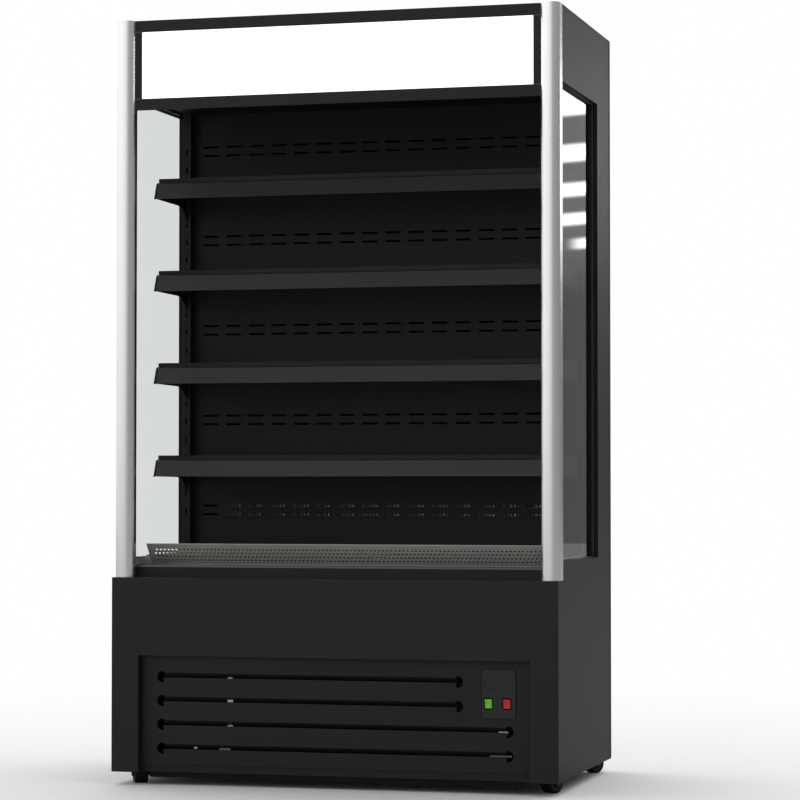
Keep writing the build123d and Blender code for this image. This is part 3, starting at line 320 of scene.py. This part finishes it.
# ================================================================ materials
def coated(name, colour, rough, specular, peel=0.12, grain=700, uneven=0.05):
    """Powder-coated steel or moulded plastic: orange peel, slightly uneven colour and gloss."""
    material, tree, shader = new_material(name)
    vector = object_coordinates(tree)
    cloudy = noise(tree, vector, scale=7, detail=5)
    fine = noise(tree, vector, scale=grain, detail=3, roughness=0.6)
    shade = spread(tree, cloudy, tint(colour, 1 - uneven), tint(colour, 1 + uneven))
    tree.links.new(shade, shader.inputs["Base Color"])
    tree.links.new(spread(tree, fine, rough - 0.03, rough + 0.03), shader.inputs["Roughness"])
    shader.inputs["Specular IOR Level"].default_value = specular
    bump(tree, shader, fine, strength=peel, distance=0.0004)
    return material


def brushed(name, colour, rough, along=(1, 1, 0.02), scale=900):
    """Satin metal with fine lines drawn out along one direction, and slightly smudged."""
    material, tree, shader = new_material(name)
    lines = noise(tree, object_coordinates(tree, along), scale, roughness=0.7)
    smudge = noise(tree, object_coordinates(tree), scale=5, detail=3)
    shade = spread(tree, lines, tint(colour, 0.96), tint(colour, 1.02))
    tree.links.new(shade, shader.inputs["Base Color"])
    tree.links.new(spread(tree, smudge, rough - 0.015, rough + 0.015), shader.inputs["Roughness"])
    shader.inputs["Metallic"].default_value = 1.0
    bump(tree, shader, lines, strength=0.08, distance=0.0002)
    return material


def spangled(name, colour, rough):
    """Galvanised sheet with its large pale crystals."""
    material, tree, shader = new_material(name)
    cells = node(tree, "ShaderNodeTexVoronoi", Scale=90)
    tree.links.new(object_coordinates(tree), cells.inputs["Vector"])
    grey = cells.outputs["Distance"]
    shade = ramp(tree, grey, (0.0, tint(colour, 0.9)), (0.8, tint(colour, 1.06)))
    gloss = ramp(tree, grey, (0.0, rough - 0.06), (0.8, rough + 0.08))
    tree.links.new(shade, shader.inputs["Base Color"])
    tree.links.new(gloss, shader.inputs["Roughness"])
    shader.inputs["Metallic"].default_value = 1.0
    grain = noise(tree, object_coordinates(tree), scale=400)
    bump(tree, shader, grain, strength=0.05, distance=0.0002)
    return material


def glowing(name, colour):
    """Lit translucent sheet with a faint unevenness from the lamps behind it."""
    material, tree, shader = new_material(name)
    cloudy = noise(tree, object_coordinates(tree), scale=3, detail=2)
    lit = spread(tree, cloudy, tint(colour, 0.985), colour)
    tree.links.new(lit, shader.inputs["Base Color"])
    tree.links.new(lit, shader.inputs["Emission Color"])
    shader.inputs["Emission Strength"].default_value = 1.0
    shader.inputs["Roughness"].default_value = 0.35
    return material


def pane(name, colour):
    """Clear sheet glass: tints what is behind it slightly, and mirrors more at a low angle."""
    material, tree, shader = new_material(name)
    tree.nodes.remove(shader)
    smear = noise(tree, object_coordinates(tree), scale=4, detail=3)
    clear = tree.nodes.new("ShaderNodeBsdfTransparent")
    tree.links.new(spread(tree, smear, tint(colour, 0.995), colour), clear.inputs["Color"])
    mirror = node(tree, "ShaderNodeBsdfGlossy", Roughness=0.02, Color=(1, 1, 1, 1))
    fresnel = node(tree, "ShaderNodeFresnel", IOR=1.45)
    side = tree.nodes.new("ShaderNodeNewGeometry")
    outside = maths(tree, "SUBTRACT", 1, side.outputs["Backfacing"])
    share = maths(tree, "MULTIPLY", fresnel.outputs["Fac"], outside)
    out = tree.nodes["Material Output"]
    mixed(tree, share, clear.outputs["BSDF"], mirror.outputs["BSDF"], out)
    return material


# colour, roughness, specular level, and for some the orange peel, its fineness and the clouding
COATINGS = {
    "case_paint": ((0.0152, 0.0152, 0.0156), 0.5, 0.22, 0.06),
    "panel_skin": ((0.0115, 0.0115, 0.012), 0.36, 0.09, 0.02, 500, 0.02),
    "header_paint": ((0.014, 0.014, 0.0145), 0.48, 0.22, 0.06),
    "liner_paint": ((0.013, 0.013, 0.0135), 0.5, 0.2, 0.06),
    "riser_paint": ((0.36, 0.357, 0.34), 0.5, 0.3, 0.06, 900, 0.06),
    "rail_face": ((0.026, 0.026, 0.0265), 0.42, 0.5, 0.04, 400),
    "fascia": ((0.0225, 0.0225, 0.023), 0.5, 0.28, 0.1, 1200),
    "seal": ((0.02, 0.02, 0.02), 0.5, 0.45, 0.06, 900),
    "edge_black": ((0.002, 0.002, 0.002), 0.6, 0.1, 0.06, 900),
    # near-black painted shade, darker than case_paint, for the lip in the shadow under the front
    # apron
    "painted_shade_black": ((0.006, 0.006, 0.0063), 0.6, 0.12, 0.06, 900),
    "bead": ((0.02, 0.02, 0.02), 0.14, 0.5, 0.0, 900, 0.02),
    "tyre": ((0.007, 0.007, 0.007), 0.6, 0.2, 0.2, 900),
    "pedal": ((0.005, 0.005, 0.005), 0.5, 0.25),
    "motor": ((0.015, 0.015, 0.017), 0.4, 0.4),
    "fan_plastic": ((0.014, 0.014, 0.015), 0.4, 0.4, 0.05),
    "shell": ((0.008, 0.008, 0.009), 0.25, 0.5, 0.05),
    "grey_plastic": ((0.22, 0.22, 0.23), 0.5, 0.4),
    "comb": ((0.03, 0.03, 0.032), 0.5, 0.3),
    "inlet": ((0.014, 0.014, 0.014), 0.5, 0.4),
    "screen": ((0.0195, 0.0195, 0.0205), 0.3, 0.28, 0.0, 300),
    "green_key": ((0.12, 0.66, 0.03), 0.35, 0.4, 0.03, 500),
    "red_key": ((0.6, 0.025, 0.02), 0.35, 0.4, 0.03, 500),
}
# colour, roughness, and for some the stretch of the brushed lines and their fineness
METALS = {
    "pillar_alu": ((0.85, 0.85, 0.855), 0.2),
    "aluminium_fin": ((0.7, 0.71, 0.72), 0.35, (1, 1, 0.05)),
    "copper": ((0.7, 0.36, 0.2), 0.3, (1, 1, 1), 200),
    "bright_steel": ((0.45, 0.45, 0.46), 0.35, (0.02, 1, 1)),
    "dull_steel": ((0.14, 0.14, 0.145), 0.4, (0.02, 1, 1)),
    "dark_zinc": ((0.07, 0.07, 0.073), 0.35, (1, 1, 1)),
}
MATERIALS = {
    "zinc": spangled("zinc", (0.55, 0.56, 0.57), 0.4),
    "sign_face": glowing("sign_face", (1.0, 1.0, 1.0)),
    "lamp": glowing("lamp", (1.0, 1.0, 0.97)),
    "pane": pane("pane", (0.9, 0.915, 0.9)),
}
MATERIALS.update((name, coated(name, *look)) for name, look in COATINGS.items())
MATERIALS.update((name, brushed(name, *look)) for name, look in METALS.items())

# nodes finished in another look than their slot's usual one
DARKENED = {"fan_shroud": "motor", "condenser_coil": "motor"}
DARKENED.update((f"castor_fork_{name}", "dark_zinc") for name in CASTORS)


def dress_nodes():
    """Gives every CAD node its procedural material, most by their slots in the record."""
    for part in frame["record"]["subparts"]:
        data = NODES[part["node"]].data
        data.materials.clear()
        data.materials.append(MATERIALS[DARKENED.get(part["node"], part["material_slot"])])


# ================================================================ mesh tools, in millimetres
def soften(made, width):
    """Rounds an object's sharp edges, so that they catch the light."""
    edge = made.modifiers.new("edge", "BEVEL")
    edge.width = width * MM
    edge.segments = 2
    edge.limit_method = "ANGLE"
    edge.angle_limit = BEVEL_ABOVE


def piece(name, mesh, slot, body="cabinet", bevel=0.0, finish=None):
    """Turns a bmesh in millimetres into a finished piece that rides on a body.

    finish names its material where that isn't the slot's own.
    """
    bmesh.ops.recalc_face_normals(mesh, faces=mesh.faces)
    bmesh.ops.scale(mesh, vec=(MM, MM, MM), verts=mesh.verts)
    data = bpy.data.meshes.new(name)
    mesh.to_mesh(data)
    mesh.free()
    data.polygons.foreach_set("use_smooth", [True] * len(data.polygons))
    data.set_sharp_from_angle(angle=SHARP_ABOVE)
    made = bpy.data.objects.new(name, data)
    bpy.context.scene.collection.objects.link(made)
    if bevel:
        soften(made, bevel)
    data.materials.append(MATERIALS[finish or slot])
    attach(made, body)


def prism(mesh, outline, low, high, matrix=Matrix.Identity(4)):
    """Closed solid whose outline lies in local XY, between two local heights."""
    rings = [[mesh.verts.new(matrix @ Vector((x, y, z))) for x, y in outline] for z in (low, high)]
    mesh.faces.new(rings[0])
    mesh.faces.new(rings[1])
    count = len(outline)
    for i in range(count):
        j = (i + 1) % count
        mesh.faces.new((rings[0][i], rings[0][j], rings[1][j], rings[1][i]))


def ring(mesh, outer, inner, low, high, matrix):
    """Flat frame between two closed outlines with the same number of points, in local XY."""
    loops = []
    for outline in (outer, inner):
        for z in (low, high):
            loops.append([mesh.verts.new(matrix @ Vector((x, y, z))) for x, y in outline])
    count = len(outer)
    for i in range(count):
        j = (i + 1) % count
        for first, second in ((0, 1), (2, 3), (0, 2), (1, 3)):
            a, b = loops[first], loops[second]
            mesh.faces.new((a[i], a[j], b[j], b[i]))


def lathe(mesh, profile, matrix, steps):
    """Turned solid about local Z from a profile of (radius, height); its ends close on the axis."""
    loops = []
    for radius, height in profile:
        loop = []
        for i in range(steps if radius else 1):
            turn = 2 * pi * i / steps
            point = Vector((radius * cos(turn), radius * sin(turn), height))
            loop.append(mesh.verts.new(matrix @ point))
        loops.append(loop)
    for a, b in zip(loops, loops[1:]):
        for i in range(steps):
            j = (i + 1) % steps
            corners = [a[i % len(a)], a[j % len(a)], b[j % len(b)], b[i % len(b)]]
            unique = list(dict.fromkeys(corners))
            if len(unique) > 2:
                mesh.faces.new(unique)


def rectangle(x, z):
    return ((x[0], z[0]), (x[1], z[0]), (x[1], z[1]), (x[0], z[1]))


def rounded(x, z, radius, steps=4):
    """Rectangle outline with rounded corners."""
    corners = ((x[1], z[0], -90), (x[1], z[1], 0), (x[0], z[1], 90), (x[0], z[0], 180))
    points = []
    for cx, cz, start in corners:
        cx -= radius if cx == x[1] else -radius
        cz -= radius if cz == z[1] else -radius
        for i in range(steps + 1):
            turn = radians(start + 90 * i / steps)
            points.append((cx + radius * cos(turn), cz + radius * sin(turn)))
    return points


def around(middle, size):
    return middle - size / 2, middle + size / 2


def grown(x, z, by):
    return (x[0] - by, x[1] + by), (z[0] - by, z[1] + by)


def shifted(outline, x, z):
    return [(x + dx, z + dz) for dx, dz in outline]


def mirrored(side, x):
    """The same stretch on the left or on the right of the object, low end first."""
    return sorted(side * value for value in x)


def in_front(face, distances):
    """Local heights of FACING_FRONT for distances in front of the plane y = face."""
    return [distance - face for distance in distances]


# local X and Y are world X and Z, and local Z points out of the front
FACING_FRONT = Matrix(((1, 0, 0, 0), (0, 0, -1, 0), (0, 1, 0, 0), (0, 0, 0, 1)))
# local X and Y are world -X and Z, and local Z points out of the back
FACING_BACK = Matrix(((-1, 0, 0, 0), (0, 0, 1, 0), (0, 1, 0, 0), (0, 0, 0, 1)))
# local Z lies along the axle of a castor that trails towards +X
AXLE_LINE = Matrix(((1, 0, 0, 0), (0, 0, 1, 0), (0, -1, 0, 0), (0, 0, 0, 1)))


def facing_side(side):
    """Local X is world Y, local Y is world Z, and local Z points out of that side."""
    return Matrix(((0, 0, side, 0), (1, 0, 0, 0), (0, 1, 0, 0), (0, 0, 0, 1)))


def at(x, y, z, turned=Matrix.Identity(4)):
    return Matrix.Translation((x, y, z)) @ turned


# ================================================================ controls and grille
def control_details():
    """Bezels of the rockers, edge strips of the control plate and the line round its display."""
    bezels = bmesh.new()
    width, height = ROCKER_SIZE
    for x in ROCKERS_X:
        cut = grown(around(x, width), around(ROCKER_Z, height), BEZEL_GAP)
        outer = rounded(*grown(*cut, BEZEL_WIDTH), radius=2)
        inner = rounded(*cut, radius=0.6)
        ring(bezels, outer, inner, *in_front(GRILLE_FACE, BEZEL_OUT), FACING_FRONT)
    piece("rocker_bezels", bezels, "seal", bevel=0.4, finish="edge_black")
    for (side, name), end in zip(SIDES, FASCIA[0]):
        strip = bmesh.new()
        x = sorted(end + side * distance for distance in EDGE_STRIP)
        outline = rounded(x, FASCIA[1], radius=0.7)
        prism(strip, outline, *in_front(GRILLE_FACE, EDGE_STRIP_OUT), FACING_FRONT)
        piece(f"fascia_gasket_{name}", strip, "seal", bevel=0.3, finish="edge_black")
    line = bmesh.new()
    near, far = DISPLAY_LINE
    outer = rounded(*grown(*DISPLAY, far), radius=1.5)
    inner = rounded(*grown(*DISPLAY, near), radius=0.5)
    ring(line, outer, inner, *in_front(GRILLE_FACE, DISPLAY_LINE_OUT), FACING_FRONT)
    piece("display_bezel", line, "fascia", bevel=0.2)


def grille_stiffener():
    """Hat section behind the louvres, and the bright tabs and rails that glint through them."""
    mesh = bmesh.new()
    prism(mesh, shifted(HAT, *STIFFENER_AT), *STIFFENER_Z)
    piece("grille_stiffener", mesh, "zinc", bevel=0.3, finish="motor")
    for name, x, z, finish in GLINTS:
        tab = bmesh.new()
        heights = in_front(STIFFENER_AT[1], GLINT_OUT)
        prism(tab, rounded(x, z, radius=1.6), *heights, FACING_FRONT)
        piece(name, tab, "zinc", bevel=0.2, finish=finish)


def base_lip():
    """Folded lip of the floor sheet that hangs below the front apron, in a near-black painted shade
    for the shadow there.
    """
    mesh = bmesh.new()
    low, high = LIP_Z
    inside, rear = LIP_FRONT + LIP_GAUGE, LIP_FRONT + LIP_DEPTH
    profile = (
        (LIP_FRONT, high), (LIP_FRONT, low), (rear, low), (rear, low + LIP_GAUGE),
        (inside, low + LIP_GAUGE), (inside, high),
    )
    prism(mesh, profile, -LIP_HALF, LIP_HALF, facing_side(1))
    # the near-black finish is painted shade for the shadow under the apron
    piece("base_lip", mesh, "case_paint", bevel=0.3, finish="painted_shade_black")


# ================================================================ windows, sill and header
def window_beads():
    """Glossy beads round the faces of the side windows' gaskets."""
    near, far = BEAD_INSET
    for side, name in SIDES:
        mesh = bmesh.new()
        y = (BEAD_FRONT, WINDOW_REAR)
        outer = rectangle(*grown(y, WINDOW_Z, -near))
        inner = rectangle(*grown(y, WINDOW_Z, -far))
        ring(mesh, outer, inner, GASKET_OUT, GASKET_OUT + BEAD_RISE, facing_side(side))
        piece(f"gasket_bead_{name}", mesh, "seal", bevel=0.6, finish="bead")


def side_trims():
    """Black edge strips that cover the top and rear edges of each side panel."""
    front, inside, under = UPPER_FRONT + TRIM_SETBACK, BACK - TRIM_REAR, HEIGHT - TRIM_TOP
    outline = (
        (front, under), (inside, under), (inside, TRIM_FOOT), (BACK, TRIM_FOOT), (BACK, HEIGHT),
        (front, HEIGHT),
    )
    for side, name in SIDES:
        mesh = bmesh.new()
        prism(mesh, outline, *TRIM_X, facing_side(side))
        piece(f"side_trim_{name}", mesh, "seal", bevel=0.3)


def sill_details():
    """The sill's steel edge strip, which gives a painted highlight on its folded front edge, and
    the end plates and the caps on the ends of the deck rails, whose pale grey is painted light on
    the walls' faces below the windows.
    """
    # the steel edge strip gives a painted highlight along the sill's folded front edge
    trim = bmesh.new()
    outline = shifted(SILL_TRIM, UPPER_FRONT, SILL_TOP)
    prism(trim, outline, -SILL_TRIM_HALF, SILL_TRIM_HALF, facing_side(1))
    piece("sill_trim", trim, "riser_paint", bevel=0.25, finish="dull_steel")
    for side, name in SIDES:
        # the end plate's pale grey is painted light on the wall's inner face below the window
        plate = bmesh.new()
        prism(plate, rectangle(*SILL_END), -INNER, -INNER + SILL_END_T, facing_side(-side))
        piece(f"sill_end_{name}", plate, "riser_paint", bevel=0.2)
        # the pale cap carries the same painted light over the dark end of the deck rail
        cap = bmesh.new()
        outline = rounded(mirrored(side, DECK_CAP_X), DECK_CAP_Z, radius=1)
        prism(cap, outline, *in_front(SILL_REAR, DECK_CAP_OUT), FACING_FRONT)
        piece(f"deck_rail_cap_{name}", cap, "riser_paint", bevel=0.2)


def header_joints():
    """Thin steel strips where the header's stiles meet its top and bottom bars, as painted
    highlights on those joints.
    """
    mesh = bmesh.new()
    for side, _ in SIDES:
        for z in SIGN_Z:
            prism(mesh, rectangle(mirrored(side, GAP_X), GAP_Y), *around(z, GAP_WIDTH))
    # the strips' steel finish is a painted highlight along each joint
    piece("header_joints", mesh, "header_paint", finish="dull_steel")


# ================================================================ shelves
def rail_caps():
    """Moulded end caps of the label rails, with their clip tongues."""
    for number, top in enumerate(SHELF_TOPS, 1):
        mesh = bmesh.new()
        for side, _ in SIDES:
            prism(mesh, shifted(RAIL_CAP, SHELF_FRONT, top), *RAIL_CAP_X, facing_side(side))
        piece(f"rail_caps_{number}", mesh, "rail_face", f"shelf_body_{number}", bevel=0.5)


# ================================================================ castors
def castor_details():
    """Hubs on the wheels, cups and their skirts on the forks, and the bolts of the top plates."""
    bolts = bmesh.new()
    for name in CASTORS:
        pin = Vector(JOINTS[f"swivel_{name}"]["pos_m"]) / MM
        axle = JOINTS[f"roll_{name}"]["axis"]
        place = at(pin.x, pin.y, 0, Matrix.Rotation(atan2(-axle[0], axle[1]), 4, "Z"))
        hub = bmesh.new()
        middle = place @ at(TRAIL, 0, WHEEL_R, AXLE_LINE)
        for side, _ in SIDES:
            face = [(radius, side * (WHEEL_W / 2 + out)) for radius, out in HUB]
            lathe(hub, face, middle, steps=32)
        piece(f"wheel_hub_{name}", hub, "grey_plastic", f"wheel_{name}", finish="motor")
        collar = bmesh.new()
        lathe(collar, CUP, place, steps=32)
        lathe(collar, CUP_SKIRT, place, steps=40)
        piece(f"castor_cup_{name}", collar, "zinc", f"castor_{name}", finish="dark_zinc")
        for dx in (-BOLT_AT, BOLT_AT):
            for dy in (-BOLT_AT, BOLT_AT):
                corner = at(pin.x + dx, pin.y + dy, 0)
                lathe(bolts, shifted(WASHER, 0, PLATE_LOW), corner, steps=20)
                lathe(bolts, shifted(BOLT_HEAD, 0, PLATE_LOW), corner, steps=6)
    piece("castor_bolts", bolts, "zinc")


# ================================================================ back and roof
def sheet_fixings():
    """Rivets of the back wall and roof, and the back wall's lapped seam."""
    mesh = bmesh.new()
    rows = [(x, z) for z in BACK_ROWS for x in RIVETS_ALONG]
    columns = [(x, z) for x in BACK_COLUMNS for z in RIVETS_UP]
    for x, z in rows + columns:
        lathe(mesh, RIVET, at(x, BACK, z, FACING_BACK), steps=10)
    for y in ROOF_ROWS:
        for x in RIVETS_ALONG:
            lathe(mesh, RIVET, at(x, y, HEIGHT), steps=10)
    piece("sheet_rivets", mesh, "zinc", finish="dull_steel")
    seam = bmesh.new()
    prism(seam, shifted(SEAM, BACK, 0), -SEAM_HALF, SEAM_HALF, facing_side(1))
    piece("back_seam", seam, "panel_skin", bevel=0.3)


# ================================================================ studio
def sky_light(tree, y, z, turn):
    """Brightness of the studio's walls, which goes over into that of the upper sky."""
    plus, minus, times = arithmetic(tree)
    stops = [((degrees + 180) / 360, level) for degrees, level in STUDIO]
    walls = ramp(tree, remap(tree, turn, -180, 180), *stops)
    share = plus(STUDIO_LOW, times(remap(tree, z, *STUDIO_GAIN_OVER), STUDIO_GAIN))
    upward = remap(tree, z, *OVERHEAD_FROM, True)
    overhead = maths(tree, "MAXIMUM", 0, plus(ZENITH, times(y, BACKLIGHT)))
    return plus(times(times(walls, share), minus(1, upward)), times(upward, overhead))


def band_light(tree, z, turn):
    """Brightness of the bright bands and of the glow round them."""
    plus, minus, times = arithmetic(tree)
    off = minus(turn, BAND_TURN)
    height = minus(z, times(off, BAND_TILT))
    within = maths(tree, "LESS_THAN", maths(tree, "ABSOLUTE", off), BAND_HALF)
    bands = 0
    for low, high in BANDS:
        rise = remap(tree, height, low - BAND_BLUR, low + BAND_BLUR / 2, True)
        fall = remap(tree, height, high - BAND_BLUR / 2, high + BAND_BLUR, True)
        band = minus(rise, fall)
        if low == BANDS[0][0]:
            band = times(band, remap(tree, off, *BAND_START, True))
        bands = plus(bands, band)
    bright = times(times(bands, within), BAND_LIGHT)
    glow = times(remap(tree, z, *GLOW_RISE, True), times(within, GLOW_LIGHT))
    return plus(bright, glow)


def world():
    """The studio lights the object and shows in its gloss; the camera sees plain white."""
    made = bpy.data.worlds.new("studio")
    bpy.context.scene.world = made
    made.use_nodes = True
    tree = made.node_tree
    tree.nodes.clear()
    place = tree.nodes.new("ShaderNodeTexCoord")
    split = tree.nodes.new("ShaderNodeSeparateXYZ")
    tree.links.new(place.outputs["Generated"], split.inputs["Vector"])
    x, y, z = (split.outputs[axis] for axis in "XYZ")
    turn = maths(tree, "DEGREES", maths(tree, "ARCTAN2", x, maths(tree, "MULTIPLY", y, -1)))
    total = maths(tree, "ADD", sky_light(tree, y, z, turn), band_light(tree, z, turn))
    studio = node(tree, "ShaderNodeBackground", Strength=1.0)
    tree.links.new(total, studio.inputs["Color"])
    white = node(tree, "ShaderNodeBackground", Color=(1, 1, 1, 1), Strength=1.0)
    rays = tree.nodes.new("ShaderNodeLightPath").outputs
    seen = maths(tree, "MAXIMUM", rays["Is Camera Ray"], rays["Is Transmission Ray"])
    out = tree.nodes.new("ShaderNodeOutputWorld")
    mixed(tree, seen, studio.outputs["Background"], white.outputs["Background"], out)


def floor():
    """Matt floor that keeps the object's shadow and fades to plain white."""
    mesh = bpy.data.meshes.new("floor")
    reach = (-FLOOR_SIZE / 2, FLOOR_SIZE / 2)
    mesh.from_pydata([(x, y, 0) for x, y in rectangle(reach, reach)], [], [(0, 1, 2, 3)])
    made = bpy.data.objects.new("floor", mesh)
    bpy.context.scene.collection.objects.link(made)
    material, tree, shader = new_material("floor")
    plus, minus, times = arithmetic(tree)
    rays = tree.nodes.new("ShaderNodeLightPath").outputs
    seen, glossy = rays["Is Camera Ray"], rays["Is Glossy Ray"]
    level = minus(FLOOR_BOUNCE, times(glossy, FLOOR_BOUNCE - FLOOR_MIRRORED))
    level = plus(level, times(seen, FLOOR_SEEN - FLOOR_BOUNCE))
    tree.links.new(level, shader.inputs["Base Color"])
    shader.inputs["Roughness"].default_value = 0.9
    shader.inputs["Specular IOR Level"].default_value = 0.0
    white = node(tree, "ShaderNodeEmission", Color=(1, 1, 1, 1), Strength=1.0)
    distance = tree.nodes.new("ShaderNodeVectorMath")
    distance.operation = "LENGTH"
    tree.links.new(object_coordinates(tree), distance.inputs[0])
    fade = times(remap(tree, distance.outputs["Value"], *FLOOR_FADE, True), seen)
    out = tree.nodes["Material Output"]
    mixed(tree, fade, shader.outputs["BSDF"], white.outputs["Emission"], out)
    made.data.materials.append(material)


def camera():
    data = bpy.data.cameras.new("camera")
    data.lens = CAMERA_LENS
    data.sensor_width = SENSOR
    data.clip_end = CLIP_END
    made = bpy.data.objects.new("camera", data)
    made.location = CAMERA_AT
    made.rotation_euler = (radians(90 + CAMERA_PITCH), 0, radians(CAMERA_TURN))
    bpy.context.scene.collection.objects.link(made)
    bpy.context.scene.camera = made


bpy.context.scene.view_settings.view_transform = "Standard"
dress_nodes()
for rounding, names in SOFT_EDGES.items():
    for name in names:
        soften(NODES[name], rounding)
control_details()
grille_stiffener()
base_lip()
window_beads()
side_trims()
sill_details()
header_joints()
rail_caps()
castor_details()
sheet_fixings()
world()
floor()
camera()
